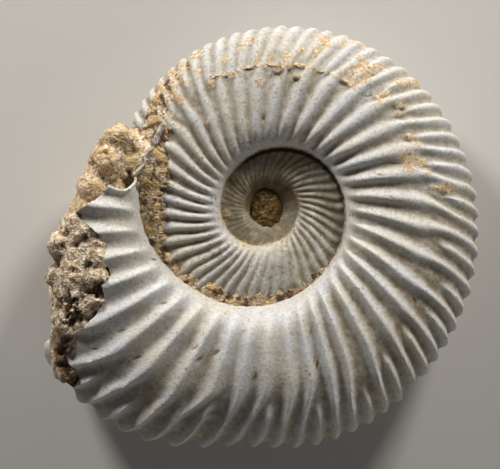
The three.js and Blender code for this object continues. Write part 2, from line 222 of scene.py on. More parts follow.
def trough_depth(turn, height):
    """How far the skin is below the rib crests, from 0 on a crest to 1 between the ribs."""
    venter = turn + VENTER_SWEEP * (1 - height)
    nearest = np.rint(np.interp(venter, SECONDARY_TURNS, SECONDARY_NUMBERS)).astype(int)
    spacing = np.interp(turn, primaries[:-1], np.diff(primaries))
    pitch = lerp(spacing, SECONDARY_STEP, smooth(height, *SPACING_HEIGHTS))
    lean = np.interp(turn, LEAN_TURNS, LEANS)
    joined = smooth(height, *JOIN_HEIGHTS)
    near = 0
    for step in range(-NEAR_RIBS, NEAR_RIBS + 1):
        index = np.clip(nearest + step - first_secondary, 0, len(secondary_numbers) - 1)
        low = sources[index] + lean * (height - PRIMARY_MIDDLE)
        straighter = swells(secondary_venters[index], [STRAIGHTENING])
        high = secondary_venters[index] - VENTER_SWEEP * (1 - height) + straighter * (STRAIGHT_BELOW - height)
        line = np.where(is_free[index], high, lerp(low, high, joined))
        missing = is_free[index] * (1 - smooth(height, free_starts[index], free_starts[index] + FREE_LENGTH))
        away = 2 * np.abs(turn - line) / pitch + MISSING_DISTANCE * missing
        near = near + np.exp(-FURROW_SOFTNESS * away)
    away = np.clip(-np.log(near + TINY) / (FURROW_SOFTNESS - np.log(2)), 0, 1)
    rounded = np.sqrt(away**2 + CREST_ROUNDING**2) - CREST_ROUNDING
    rounded = rounded / (np.sqrt(1 + CREST_ROUNDING**2) - CREST_ROUNDING)
    sharp = 1 - (1 - rounded) ** CREST_POWER
    broad = 0.5 - 0.5 * np.cos(np.pi * away**EARLY_CREST_BREADTH)
    depth = lerp(broad, sharp, smooth(turn, *SHARPENING_TURNS))
    margin = NARROW_MARGIN + swells(turn, WIDER_MARGINS)
    faint = np.interp(turn, RELIEF_TURNS, RELIEF_SHARES)
    full = np.maximum(faint, smooth(turn, *FULL_TURNS)) * (1 - swells(turn, FLATTER_TOP))
    relief = lerp(faint, full, smooth(height, *RELIEF_HEIGHTS))
    return depth * smooth(height, MARGIN_RISE[0] * margin, MARGIN_RISE[1] * margin) * relief


def section(turn):
    """The whorl section's widest radius, its outer and inner reach and its half width."""
    seam = seam_radius(turn)
    tall = venter_radius(turn) - seam
    inner = (WIDEST_SHARE + TUCK_SHARE) * tall
    return seam + WIDEST_SHARE * tall, (1 - WIDEST_SHARE) * tall, inner, half_width(turn)


def height_of(direction):
    return np.clip(1 - direction / SEAM_DIRECTION, 0, 1)


def direction_at(turn, radius):
    """The direction in which the flank is at a radius outside its widest place."""
    middle, outer, _, half = section(turn)
    across = radius - middle
    share = np.clip(across / outer, 0, 1)
    return np.degrees(np.arctan2(half * (1 - share**OUTER_POWER) ** (1 / OUTER_POWER), across))


def whorl_point(turn, direction, side, lift=0, filled=0):
    """A point of the skin, raised by lift, with the furrows between the ribs filled by a share."""
    middle, outer, inner, half = section(turn)
    cosine = np.cos(np.radians(direction))
    sine = np.sin(np.radians(direction))
    power = np.where(cosine > 0, OUTER_POWER, INNER_POWER)
    reach = np.where(cosine > 0, outer, inner)
    size = (np.abs(cosine) / reach) ** power + (np.abs(sine) / half) ** power
    relief = RIB_HEIGHT_SHARE * venter_radius(turn) * trough_depth(turn, height_of(direction))
    distance = size ** (-1 / power) - (1 - filled) * relief + lift
    return on_coil(turn, middle + distance * cosine, side * distance * sine)


def seam_point(rib, side):
    """Where a whorl starts, on the flank of the one before."""
    turn = column_turn(rib, np.zeros_like(rib))
    earlier = turn - 360
    return whorl_point(earlier, direction_at(earlier, seam_radius(turn)), side)


def skin_point(rib, row, side):
    """The skin's points. Rows count from the whorl's own seam over the next seam to the venter."""
    covered = rib <= LAST_RIB - RIBS_TO_A_TURN
    lap = column_turn(rib, np.full_like(rib, height_of(LAP_DIRECTION)))
    lap_direction = np.where(covered, direction_at(lap, seam_radius(lap + 360)), LAP_DIRECTION)
    lower = lerp(SEAM_DIRECTION, lap_direction, row / SEAM_ROWS)
    upper = lerp(lap_direction, 0, (row - SEAM_ROWS) / VENTER_ROWS)
    direction = np.where(row < SEAM_ROWS, lower, upper)
    points = whorl_point(column_turn(rib, height_of(direction)), direction, side)
    points = np.where((row == 0)[:, None], seam_point(rib, side), points)
    lap_point = seam_point(rib + RIBS_TO_A_TURN, side)
    share = np.hypot(points[:, 0], points[:, 1]) / np.hypot(lap_point[:, 0], lap_point[:, 1])
    cone = lerp(side * MIDDLE_HEIGHT, lap_point[:, 2], share)
    rise = lerp(MIDDLE_RELIEF, 1, smooth(rib, FIRST_RIB, FIRST_RIB + MIDDLE_RIBS))
    points[:, 2] = np.where(covered & (row < SEAM_ROWS), lerp(cone, points[:, 2], rise), points[:, 2])
    at_lap = (row == SEAM_ROWS) & covered
    return np.where(at_lap[:, None], lap_point, points)


def deselect_all():
    if bpy.context.object and bpy.context.object.mode != "OBJECT":
        bpy.ops.object.mode_set(mode="OBJECT")
    bpy.ops.object.select_all(action="DESELECT")


def select_only(*pieces):
    deselect_all()
    for piece in pieces:
        piece.select_set(True)
    bpy.context.view_layer.objects.active = pieces[0]


def read_points(piece):
    points = np.empty(len(piece.data.vertices) * 3)
    piece.data.vertices.foreach_get("co", points)
    return points.reshape(-1, 3)


def write_points(piece, points):
    piece.data.vertices.foreach_set("co", np.asarray(points, dtype=np.float32).ravel())
    piece.data.update()


def add_sheet(name, columns, rows, place):
    """A grid whose points are moved to where place says, columns along the coil and rows outwards."""
    deselect_all()
    bpy.ops.mesh.primitive_grid_add(x_subdivisions=columns, y_subdivisions=rows, size=2)
    sheet = bpy.context.object
    sheet.name = name
    points = read_points(sheet)
    column = np.rint((points[:, 0] + 1) / 2 * columns)
    row = np.rint((points[:, 1] + 1) / 2 * rows)
    write_points(sheet, place(column, row))
    return sheet


def edit_whole(piece):
    """Starts to edit a piece, with all of it selected."""
    select_only(piece)
    bpy.ops.object.mode_set(mode="EDIT")
    bpy.ops.mesh.select_all(action="SELECT")


def join(*pieces):
    """The pieces as one object, with the points that meet merged."""
    select_only(*pieces)
    bpy.ops.object.join()
    edit_whole(pieces[0])
    bpy.ops.mesh.remove_doubles(threshold=MERGE_DISTANCE)
    bpy.ops.object.mode_set(mode="OBJECT")
    return pieces[0]


def face_outwards(piece):
    """Turns all the faces of a closed piece outwards."""
    edit_whole(piece)
    bpy.ops.mesh.normals_make_consistent(inside=False)
    bpy.ops.object.mode_set(mode="OBJECT")


open_rib = LAST_RIB - RIBS_TO_A_TURN
side_rows = SEAM_ROWS + VENTER_ROWS


def column_rib(start, column):
    """The rib number of a column of points. Each rib has several columns."""
    whole, part = np.divmod(column, len(COLUMN_SHARES))
    return start + whole + np.array(COLUMN_SHARES)[part.astype(int)]


def rim_point(rib, row):
    over = skin_point(rib, np.minimum(row, side_rows), 1)
    under = skin_point(rib, np.minimum(2 * side_rows - row, side_rows), -1)
    return np.where((row <= side_rows)[:, None], over, under)


def end_point(column, row):
    inner_row = SEAM_ROWS + np.rint(row / (2 * side_rows) * 2 * VENTER_ROWS)
    last = rim_point(np.full_like(row, LAST_RIB), row)
    return np.where((column == 0)[:, None], last, rim_point(np.full_like(row, open_rib), inner_row))


def middle_point(side):
    def place(column, row):
        along = column_rib(FIRST_RIB, np.maximum(column - SEAM_ROWS, 0))
        around = skin_point(along, np.maximum(SEAM_ROWS - column, 0), side)
        centre = (row == 0) if side > 0 else (row == 1)
        return np.where(centre[:, None], (0, 0, side * MIDDLE_HEIGHT), around)

    return place


def covered_point(side):
    def place(column, row):
        return skin_point(column_rib(FIRST_RIB, column), row if side > 0 else SEAM_ROWS - row, side)

    return place


covered_columns = (open_rib - FIRST_RIB) * len(COLUMN_SHARES)
turn_columns = RIBS_TO_A_TURN * len(COLUMN_SHARES)


def around_point(column, row):
    return rim_point(column_rib(open_rib, column), row)


shell = join(
    add_sheet("ammonite_shell", turn_columns, 2 * side_rows, around_point),
    add_sheet("covered_upper", covered_columns, SEAM_ROWS, covered_point(1)),
    add_sheet("covered_lower", covered_columns, SEAM_ROWS, covered_point(-1)),
    add_sheet("aperture", 1, 2 * side_rows, end_point),
    add_sheet("middle_upper", SEAM_ROWS + turn_columns, 1, middle_point(1)),
    add_sheet("middle_lower", SEAM_ROWS + turn_columns, 1, middle_point(-1)),
)


def add_prism(name, outline, bottom, top):
    """A flat outline, extruded upwards."""
    deselect_all()
    bpy.ops.mesh.primitive_circle_add(vertices=len(outline), radius=1, fill_type="NGON")
    prism = bpy.context.object
    prism.name = name
    write_points(prism, [(x, y, bottom) for x, y in outline])
    edit_whole(prism)
    bpy.ops.mesh.extrude_region_move(TRANSFORM_OT_translate={"value": (0, 0, top - bottom)})
    face_outwards(prism)
    return prism


RAGS_TO_A_MM = 1.3


def ragged(line, step, size):
    """The line's points with more between them, each moved a little to the side."""
    points = [Vector(line[0])]
    for start, end in zip(map(Vector, line[:-1]), map(Vector, line[1:])):
        count = max(1, round((end - start).length / step))
        aside = Vector((start.y - end.y, end.x - start.x)).normalized()
        for i in range(1, count + 1):
            point = start.lerp(end, i / count)
            points.append(point + aside * size * noise.noise(Vector((point.x, point.y, 0)) * RAGS_TO_A_MM))
    return points


def apply_modifier(piece, kind, **settings):
    """Adds a modifier with its settings and applies it."""
    modifier = piece.modifiers.new(kind.lower(), kind)
    for key, value in settings.items():
        setattr(modifier, key, value)
    select_only(piece)
    bpy.ops.object.modifier_apply(modifier=modifier.name)


def roughen(piece, lumps, pattern="CLOUDS"):
    """Moves the skin along its normals by patterns of lumps, each given as their width and height."""
    for grain, height in lumps:
        texture = bpy.data.textures.new(f"{pattern} {grain}", pattern)
        texture.noise_scale = grain
        apply_modifier(piece, "DISPLACE", texture=texture, texture_coords="LOCAL", strength=height)


# Where the flank has broken away on the left: its ragged edge as X and Y on the coil, from the outer rim
# at the lower left up to the tip of the last rib, and then round everything outside it.
BROKEN_EDGE = [
    (-42.0, -40.0), (-38.7, -36.9), (-37.6, -36.0), (-36.8, -34.7), (-37.3, -33.4), (-39.0, -30.9),
    (-40.3, -26.7), (-37.9, -25.5), (-36.1, -24.5), (-33.5, -21.9), (-31.5, -19.0), (-32.2, -15.5),
    (-30.3, -13.7), (-31.0, -12.4), (-34.4, -10.9), (-32.2, -6.3), (-33.5, -5.1), (-35.6, -3.4),
    (-36.2, -1.9), (-37.4, -1.6), (-36.0, -0.8), (-34.4, 0.3), (-32.7, 1.4), (-30.9, 3.3),
    (-29.7, 2.7), (-28.0, 2.3), (-26.9, 2.8), (-26.1, 3.8), (-25.8, 4.6), (-25.9, 5.3),
]
BROKEN_AWAY = [
    (-25.2, 5.7), (-24.2, 7.5), (-23.9, 9.8), (-23.0, 11.5), (-22.5, 13.0), (-31.0, 20.0), (-70.0, 50.0),
    (-70.0, -44.0),
]
BROKEN_STEP = 0.5
BROKEN_RAG = 0.25
CUT_HEIGHT = 30


def height_on(piece, x, y):
    """The height of the topmost skin of a piece at a place."""
    return piece.ray_cast(Vector((x, y, CUT_HEIGHT)), Vector((0, 0, -1)))[1].z


# The hooked lip of the rim, and the least height that it keeps at each point.
RIM_LIP = [(-25.7, 5.4), (-25.4, 4.7), (-26.0, 3.9), (-26.8, 3.0), (-28.0, 2.5), (-29.7, 2.9), (-30.8, 3.5)]
RIM_LOWEST = [8.9, 9.0, 9.2, 9.6, 10.2, 11.0, 11.6]
RIM_THICKNESS = 0.7
bpy.context.view_layer.update()
lip_heights = [max(low, height_on(shell, x, y)) for (x, y), low in zip(RIM_LIP, RIM_LOWEST)]
broken_outline = ragged(BROKEN_EDGE, BROKEN_STEP, BROKEN_RAG) + BROKEN_AWAY
broken_part = add_prism("broken_part", broken_outline, -CUT_HEIGHT, CUT_HEIGHT)
apply_modifier(shell, "BOOLEAN", object=broken_part, operation="DIFFERENCE", solver="EXACT")
bpy.data.objects.remove(broken_part)


def add_drawn_ball(name, segments, rings, place):
    """A ball drawn out along the coil. place gets along, from 0 to 1, and the direction round it."""
    deselect_all()
    bpy.ops.mesh.primitive_uv_sphere_add(segments=segments, ring_count=rings, radius=1)
    ball = bpy.context.object
    ball.name = name
    points = read_points(ball)
    along = np.arccos(np.clip(points[:, 2], -1, 1)) / np.pi
    direction = np.degrees(np.arctan2(points[:, 1], points[:, 0]))
    write_points(ball, place(along, direction))
    face_outwards(ball)
    return ball


def blunt(along, power):
    """From 0 at both ends to 1 between them."""
    return (1 - np.abs(2 * along - 1) ** power) ** 0.5


# Two remnants of the wall that still stand by the sandstone: pieces of the umbilical wall past the last
# rib, and a strip of the outer side low on the outline.
WALL_PIECES = [
    [(-25.9, 5.9), (-25.3, 6.4), (-24.5, 7.0), (-23.7, 7.8)],
    [(-23.7, 7.8), (-23.6, 8.8), (-23.9, 9.7)],
    [(-23.8, 9.6), (-23.1, 10.4), (-22.1, 11.3)],
    [(-22.0, 11.8), (-21.2, 13.8), (-20.3, 16.0)],
]
WALL_THICKNESS = [0.95, 0.55, 0.95, 1.3]
WALL_TOPS = [(9.2, 10.0), (9.7, 9.5), (9.5, 8.2), (7.8, 7.6)]
WALL_FOOT = 3
WALL_HALF_SHARE = 0.35
WALL_STEP = 0.4
WALL_RAG = 0.12
WALL_GRAIN = 1.3
WALL_ROUGHNESS = 0.4
ROD_END_SHARE = 0.65
STRIP_TURNS = (148, 138.5)
STRIP_RADIUS = 51.3
STRIP_DRIFT = 2.1
STRIP_Z = -4
STRIP_HALF_WIDTH = 1.4
STRIP_HALF_HEIGHT = 6.5
STRIP_BLUNTNESS = 6
STRIP_CURVE = 1.2
STRIP_GRID = (32, 40)


def strip_point(along, direction):
    turn = lerp(*STRIP_TURNS, along)
    out = blunt(along, STRIP_BLUNTNESS)
    wide = out * STRIP_HALF_WIDTH * np.cos(np.radians(direction))
    share = out * np.sin(np.radians(direction))
    radius = STRIP_RADIUS + STRIP_DRIFT * along + wide - STRIP_CURVE * share**2
    return on_coil(turn, radius, STRIP_Z + STRIP_HALF_HEIGHT * share)


def add_rod(name, points, thickness):
    """A round rod through the points, thinner towards both ends."""
    curve = bpy.data.curves.new(name, "CURVE")
    curve.dimensions = "3D"
    curve.bevel_depth = thickness / 2
    curve.use_fill_caps = True
    spline = curve.splines.new("NURBS")
    spline.points.add(len(points) - 1)
    for i, (point, place) in enumerate(zip(spline.points, points)):
        point.co = (*place, 1)
        point.radius = lerp(ROD_END_SHARE, 1, np.sin(np.pi * i / (len(points) - 1)))
    spline.use_endpoint_u = True
    rod = bpy.data.objects.new(name, curve)
    bpy.context.scene.collection.objects.link(rod)
    select_only(rod)
    bpy.ops.object.convert(target="MESH")
    return bpy.context.object


def add_wall(line, thickness, tops):
    """A thin upright piece of wall that follows a line, with a rounded top."""
    points = [Vector(p) for p in ragged(line, WALL_STEP, WALL_RAG)]
    half = WALL_HALF_SHARE * thickness
    sides = [Vector(((a - b).y, (b - a).x)).normalized() * half for a, b in zip(points, points[1:])]
    sides.append(sides[-1])
    outline = [p + s for p, s in zip(points, sides)] + [p - s for p, s in zip(points, sides)][::-1]
    heights = np.linspace(*tops, len(points)) - thickness / 2
    top_edge = add_rod("top_edge", [(*p, z) for p, z in zip(points, heights)], thickness)
    roughen(top_edge, [(WALL_GRAIN, WALL_ROUGHNESS * thickness)])
    return [add_prism("wall", outline, WALL_FOOT, min(heights)), top_edge]


def add_ribbon(name, columns, rows, place):
    """A closed strip along the coil: its rows go over the top and back underneath."""
    ribbon = add_sheet(name, columns, rows, place)
    edit_whole(ribbon)
    bpy.ops.mesh.remove_doubles(threshold=MERGE_DISTANCE)
    bpy.ops.mesh.select_all(action="DESELECT")
    bpy.ops.mesh.select_non_manifold()
    bpy.ops.mesh.fill()
    face_outwards(ribbon)
    return ribbon


# A crust of lime still covers the outer part of the upper flank. Its inner edge is low and ragged.
CRUST_EDGE = np.array([
    (-11.0, 23.6), (-10.6, 25.0), (-8.6, 25.6), (-6.0, 25.6), (-4.6, 26.8), (-2.0, 27.2), (1.0, 27.6),
    (6.5, 27.4), (12.6, 26.0), (17.4, 23.4), (20.6, 21.6), (22.6, 20.4), (26.6, 18.6),
])
EDGE_POINTS = 120
CRUST_COLUMNS = 260
CRUST_ROWS = 9
CRUST_WIDTH = 4.5
CRUST_THICKNESS = 0.11
CRUST_FILL = 0.15
CRUST_UNEVENNESS = 0.45
CRUST_GRAIN = 1.3
# The shares of the length over which the crust starts and ends.
CRUST_START = (0, 0.04)
CRUST_END = (0.36, 0.52)
# How deep it lies in the skin: at its outer edge, past its ends and underneath.
CRUST_OUTER_SINK = 0.2
CRUST_END_SINK = 0.1
CRUST_DEPTH = 0.6


def crust_line(share):
    """A place along the crust's edge, by its share of the length."""
    lengths = np.concatenate([[0], np.cumsum(np.hypot(*np.diff(CRUST_EDGE, axis=0).T))])
    place = share * lengths[-1]
    return np.interp(place, lengths, CRUST_EDGE[:, 0]), np.interp(place, lengths, CRUST_EDGE[:, 1])


def edge_polar(line):
    """The angles of a line's points in rising order, with the radius at each."""
    angles = np.arctan2(line[:, 1], line[:, 0])
    order = np.argsort(angles)
    return angles[order], np.hypot(line[:, 0], line[:, 1])[order]


def fractal(place, smoothness, octaves):
    """Noise from about -1 to 1. The smoother it is, the weaker are its finer octaves."""
    return noise.fractal(place, smoothness, 2, octaves)


def crust_point(column, row):
    along = column / CRUST_COLUMNS
    x, y = crust_line(along)
    uneven = np.array([fractal(Vector((a, b, 0.5)) / CRUST_GRAIN, 0.8, 3) for a, b in zip(x, y)])
    share = np.minimum(row, 2 * CRUST_ROWS - row) / CRUST_ROWS
    top = (row > 0) & (row <= CRUST_ROWS)
    turn = np.degrees(np.arctan2(-y, x))
    radius = np.hypot(x, y) + CRUST_UNEVENNESS * uneven
    radius = radius + CRUST_WIDTH * np.maximum(share - 1 / CRUST_ROWS, 0)
    ends = smooth(along, *CRUST_START) * fading(along, 1, *CRUST_END)
    above = lerp(CRUST_THICKNESS, -CRUST_OUTER_SINK, share) * ends - CRUST_END_SINK * (1 - ends)
    lift = np.where(top, above, -CRUST_DEPTH)
    direction = direction_at(turn, radius)
    furrow = RIB_HEIGHT_SHARE * venter_radius(turn) * trough_depth(turn, height_of(direction))
    outwards = (1 - CRUST_FILL) * furrow * np.cos(np.radians(direction))
    return whorl_point(turn, direction_at(turn, radius + outwards), 1, lift, CRUST_FILL)


# Small nodules stuck to the flank: X, Y and how far each reaches.
NODULES = [
    (2.6, 26.5, 1.1), (6.3, 25.0, 0.65), (4.6, 27.0, 0.5), (-18.8, 15.1, 0.45),
]
NODULE_SINK = 0.45
NODULE_GRAIN = 0.7
NODULE_ROUGHNESS = 1.1


def add_lump(x, y, z, reach, fineness=3):
    deselect_all()
    bpy.ops.mesh.primitive_ico_sphere_add(subdivisions=fineness, radius=reach, location=(x, y, z))
    bpy.ops.object.transform_apply()
    return bpy.context.object


def add_nodule(x, y, reach):
    nodule = add_lump(x, y, height_on(shell, x, y) - NODULE_SINK * reach, reach, 4)
    roughen(nodule, [(NODULE_GRAIN, NODULE_ROUGHNESS * reach)])
    return nodule


bpy.context.view_layer.update()
nodules = [add_nodule(*nodule) for nodule in NODULES]
crust = add_ribbon("crust", CRUST_COLUMNS, 2 * CRUST_ROWS, crust_point)
lip = add_rod("lip", [(x, y, z) for (x, y), z in zip(RIM_LIP, lip_heights)], RIM_THICKNESS)
remnants = sum([add_wall(*wall) for wall in zip(WALL_PIECES, WALL_THICKNESS, WALL_TOPS)], [])
shell = join(shell, *remnants, *nodules, crust, lip, add_drawn_ball("strip", *STRIP_GRID, strip_point))

# Sand that still clings to the flank, mostly where the next whorl once lay over it: X, Y and reach.
SAND_PATCHES = [
    (-2.9, 32.7, 1.3), (7.0, 30.7, 1.0), (9.8, 30.1, 1.1), (11.4, 32.4, 1.5), (1.0, 29.3, 0.8),
    (-2.0, 28.6, 0.9), (11.6, 32.2, 1.6), (15.2, 32.1, 0.9), (17.5, 32.7, 0.9), (20.3, 31.6, 0.9),
    (19.7, 26.9, 3.0), (22.6, 27.3, 2.2), (17.6, 26.2, 1.9), (19.6, 24.6, 1.3), (17.4, 23.5, 0.9),
    (27.0, 23.8, 1.5), (29.6, 24.2, 1.3), (24.0, 21.8, 1.3), (22.6, 20.9, 1.1), (26.6, 19.7, 1.0),
    (26.2, 17.9, 0.8), (27.9, 13.6, 1.2), (30.0, 12.4, 1.3), (28.4, 8.4, 2.8), (30.8, 8.0, 1.3),
    (32.2, 6.1, 1.2), (33.8, 3.0, 1.9), (36.4, 3.0, 1.6), (22.9, 6.1, 0.6), (25.1, 1.6, 0.6),
    (-12.8, 30.1, 1.0), (-10.6, 24.0, 1.3), (-19.0, 23.0, 2.2), (-20.6, 20.6, 2.2), (-18.0, 26.0, 1.6),
    (-22.0, 18.0, 2.0), (-11.3, 16.2, 0.9), (-1.0, 24.3, 1.3), (-18.9, 18.0, 1.0), (-16.4, 20.2, 1.0),
    (-7.6, -2.0, 1.1), (-8.0, -3.4, 0.7), (-4.2, -8.0, 0.8), (3.5, -7.4, 0.7), (-16.6, 28.0, 1.2),
    (-14.4, 29.4, 1.0), (-19.6, 26.0, 1.4), (-16.0, 24.4, 0.9), (-13.4, 26.4, 0.8), (-17.4, 21.4, 1.2),
    (-20.9, 24.0, 1.4), (4.4, 29.2, 1.0), (-8.0, 29.0, 0.9), (-5.0, 31.4, 0.8),
]


LAST_TURN = 202
SEAM_TOLERANCE = 0.02


def skin_place(points):
    """For points of the shell: the growth angle, the direction in the section, and the side."""
    angle = np.degrees(np.arctan2(-points[:, 1], points[:, 0]))
    radius = np.hypot(points[:, 0], points[:, 1])
    turn = angle - 720
    for whorl in (-1, 0, 1):
        candidate = angle + 360 * whorl
        grown = (candidate < LAST_TURN) & (seam_radius(candidate) <= radius + SEAM_TOLERANCE)
        turn = np.where(grown, candidate, turn)
    middle = section(turn)[0]
    return turn, np.degrees(np.arctan2(np.abs(points[:, 2]), radius - middle)), np.sign(points[:, 2])


def patchiness(points, grain, octaves=3):
    """Smooth noise from about -1 to 1, the same for equal places."""
    return np.array([fractal(Vector(p) / grain, 0.9, octaves) for p in points])


def write_values(piece, name, values):
    attribute = piece.data.attributes.get(name) or piece.data.attributes.new(name, "FLOAT", "POINT")
    attribute.data.foreach_set("value", np.asarray(values, dtype=np.float32))


def distance_from(points, x, y):
    """How far each point is from a place, seen from above."""
    return np.hypot(points[:, 0] - x, points[:, 1] - y)


def distance_to_line(points, line):
    return np.min([distance_from(points, x, y) for x, y in line], axis=0)


def spots(points, places, unevenness, effect):
    """The strength of ragged spots at each point. A spot is X, Y and reach."""
    found = np.zeros(len(points))
    for x, y, reach in places:
        found = np.maximum(found, fading(distance_from(points, x, y) / reach + unevenness, *effect))
    return found


# Pits and dirty specks in the flank: X and Y.
PITS = [
    (-8.0, -25.8), (-13.8, -28.0), (-9.4, -28.8), (-10.4, -30.2), (-12.8, -30.4), (-2.0, -33.8), (9.0, -25.4),
    (10.2, -31.2), (9.6, -30.4), (-22.0, -10.8), (-28.0, -24.6), (-33.2, -28.4), (-25.0, -30.0), (20.7, 21.8),
    (29.6, -19.0), (22.6, -20.8), (28.2, -25.4), (4.6, -16.6), (-0.3, 16.9), (22.9, 6.1), (25.1, 1.6),
    (-19.9, -19.4), (0.6, 24.1),
]
PIT_REACH = 0.38
PIT_DEPTH = 0.3
# Brown stains in the umbilicus: X, Y and reach.
RUST = [
    (-6.0, 4.6, 1.6), (0.0, 4.6, 1.5), (2.5, 4.4, 1.5), (4.4, 3.4, 1.2), (-2.2, 4.0, 1.4), (-4.4, 2.6, 1.0),
]
# The older whorls are browner, partly as their own tint and partly as painted shade of the deep umbilicus:
# the share by growth angle.
AGE_AND_SHADE_TURNS = [-720, -420, -380, -300, -230, -180, -90, -20, 40]
AGE_AND_SHADE_SHARES = [1.1, 1.0, 0.75, 0.55, 0.4, 0.16, 0.3, 0.08, 0]

# What each effect does: its strength, and the two distances between which it fades away.
PATCH_SAND = (1, 0.4, 1.1)
GOLDEN_LINE = (0.7, 0.05, 0.35)
EDGE_SAND = (0.8, 0.2, 0.45)
CRUST_SAND = (0.38, 1.5, 6)
NODULE_SAND = (0.75, 1, 1.5)
PIT = (1, 0.5, 1.2)
SEAM_DUST = (0.8, 0.05, 0.4)
FOOT_DUST = (0.3, 0.5, 4)
RUST_GRIME = (0.6, 0.4, 1.3)
STEP_GRIME = (0.45, 0.1, 0.6)
NODULE_GRIME = (0.33, 0.85, 1.15)
PIT_GRIME = 0.4

# Where the golden line, the sand on the crust and the sand on the strip are.
GOLDEN_LINE_PLACE = 0.15
GOLDEN_LINE_TURNS = (-290, -160)
CRUST_SAND_END = (14, 24)
STRIP_SAND = 0.45
STRIP_SAND_FROM = (48, 49.5)
STRIP_SAND_TURNS = (140, 153)

# Dust and painted shade in the furrows, with more or less of them in places, and dust at the foot of the last
# whorl.
FURROW_DUST_AND_SHADE = 0.8
FURROW_DUST_AND_SHADE_POWER = 1.3
LIGHTER_FURROWS_AT_END = 0.3
LIGHTER_FURROWS_AT_END_TURNS = (110, 150)
LIGHTER_FURROW_SWELLS = [(0.3, -55, 40)]
DARKER_FURROW_SWELLS = [(0.5, -105, 22), (0.15, 45, 25)]
SEAM_DUST_BEFORE = 30
FOOT_DUST_TURNS = (0, 40)
MOST_DUST_AND_SHADE = 1.2
RIM_FREE_OF_DUST_AND_SHADE = (0.6, 1.4)

# Painted shadow, with some grime, in the seam of the last whorl on the side where its wall overhangs, and
# grime by the step of the innermost one.
SEAM_SHADOW_PLACE = -0.2
SEAM_SHADOW_UNEVENNESS = 0.15
SEAM_SHADOW_FADE = (0.2, 0.65)
SEAM_SHADOW_START = (-140, -105)
SEAM_SHADOW_END = (-12, 18)
THICKER_SEAM_SHADOW = [(0.35, -70, 28)]
STEP_PLACE = 0.2
STEP_TURNS = (-560, -350)

# Brown specks on the older whorls and on the flatter top.
OLD_SPECKS = 0.07
OLD_SPECKS_TURNS = (60, 220)
TOP_SPECKS = [(0.045, -100, 40)]

# How far sand fills the furrows and how thick it is, and how rough the whole skin is: the lumps' width
# and height.
SAND_FILL = 0.5
SAND_THICKNESS = 0.06
SAND_UNEVENNESS = 0.15
EARLIEST_FURROWS = -400
SHELL_ROUGHNESS = [(5, 0.35), (1.2, 0.1)]
# The unevenness of all these marks: its coarse and its fine grain.
COARSE_GRAIN = 2.5
FINE_GRAIN = 0.8

points = read_points(shell)
turn, direction, side = skin_place(points)
radius = np.hypot(points[:, 0], points[:, 1])
from_seam = radius - seam_radius(turn)
around = np.degrees(np.arctan2(-points[:, 1], points[:, 0]))
from_last_seam = radius - seam_radius(around)
valley = trough_depth(turn, height_of(direction))
unevenness = patchiness(points, COARSE_GRAIN)
fine_unevenness = patchiness(points, FINE_GRAIN, 2)

patch_unevenness = 0.45 * unevenness + 0.5 * fine_unevenness
edge_line = np.array([crust_line(share) for share in np.linspace(0, 1, EDGE_POINTS)])
to_edge = distance_to_line(points, edge_line)
outside = radius > np.interp(np.arctan2(points[:, 1], points[:, 0]), *edge_polar(edge_line))
golden_line = fading(np.abs(from_seam - GOLDEN_LINE_PLACE), *GOLDEN_LINE) * within(turn, *GOLDEN_LINE_TURNS)
crust_sand = fading(to_edge, *EDGE_SAND) + fading(to_edge, *CRUST_SAND) * outside
crust_sand = crust_sand * (side > 0) * fading(points[:, 0], 1, *CRUST_SAND_END)
strip_sand = STRIP_SAND * smooth(radius, *STRIP_SAND_FROM) * within(turn, *STRIP_SAND_TURNS)
nodule_sand = spots(points, NODULES, 0.4 * unevenness, NODULE_SAND)
sand = spots(points, SAND_PATCHES, patch_unevenness, PATCH_SAND) * (side > 0)
sand = np.max([sand, golden_line, crust_sand, strip_sand, nodule_sand], axis=0)

pit = spots(points, [(x, y, PIT_REACH) for x, y in PITS], 0.5 * fine_unevenness, PIT)
# The furrows are darkened partly by dust and partly as painted shade, lighter or darker in places.
lighter_furrows = LIGHTER_FURROWS_AT_END * smooth(turn, *LIGHTER_FURROWS_AT_END_TURNS) + swells(turn, LIGHTER_FURROW_SWELLS)
furrow_dust_and_shade = FURROW_DUST_AND_SHADE * valley**FURROW_DUST_AND_SHADE_POWER * (1 - lighter_furrows) * (1 + swells(turn, DARKER_FURROW_SWELLS))
seam_dust = fading(from_seam, *SEAM_DUST) * (turn < SEAM_DUST_BEFORE)
foot_dust = fading(from_seam, *FOOT_DUST) * smooth(turn, *FOOT_DUST_TURNS)
# Older whorls browner, partly as painted shade of the umbilicus.
age_and_shade = np.interp(turn, AGE_AND_SHADE_TURNS, AGE_AND_SHADE_SHARES)
dust_and_shade = np.clip(furrow_dust_and_shade + age_and_shade + seam_dust + foot_dust + pit, 0, MOST_DUST_AND_SHADE)
dust_and_shade *= smooth(distance_to_line(points, RIM_LIP), *RIM_FREE_OF_DUST_AND_SHADE)

# Painted shadow with some grime: a dark line along the seam of the last whorl, only between the start and end
# angles round the coil.
from_seam_shadow = np.abs(from_last_seam - SEAM_SHADOW_PLACE - SEAM_SHADOW_UNEVENNESS * fine_unevenness)
thickness = SEAM_SHADOW_FADE[1] * (1 + swells(around, THICKER_SEAM_SHADOW))
seam_grime_and_shadow = fading(from_seam_shadow, 1, SEAM_SHADOW_FADE[0], thickness)
seam_grime_and_shadow *= smooth(around, *SEAM_SHADOW_START) * fading(around, 1, *SEAM_SHADOW_END)
rust_grime = spots(points, RUST, 0.5 * unevenness, RUST_GRIME)
step_grime = fading(np.abs(from_seam - STEP_PLACE), *STEP_GRIME) * within(turn, *STEP_TURNS)
nodule_grime = spots(points, NODULES, 0, NODULE_GRIME)
grime_and_shadow = np.max([seam_grime_and_shadow, rust_grime, step_grime, nodule_grime, PIT_GRIME * pit], axis=0)

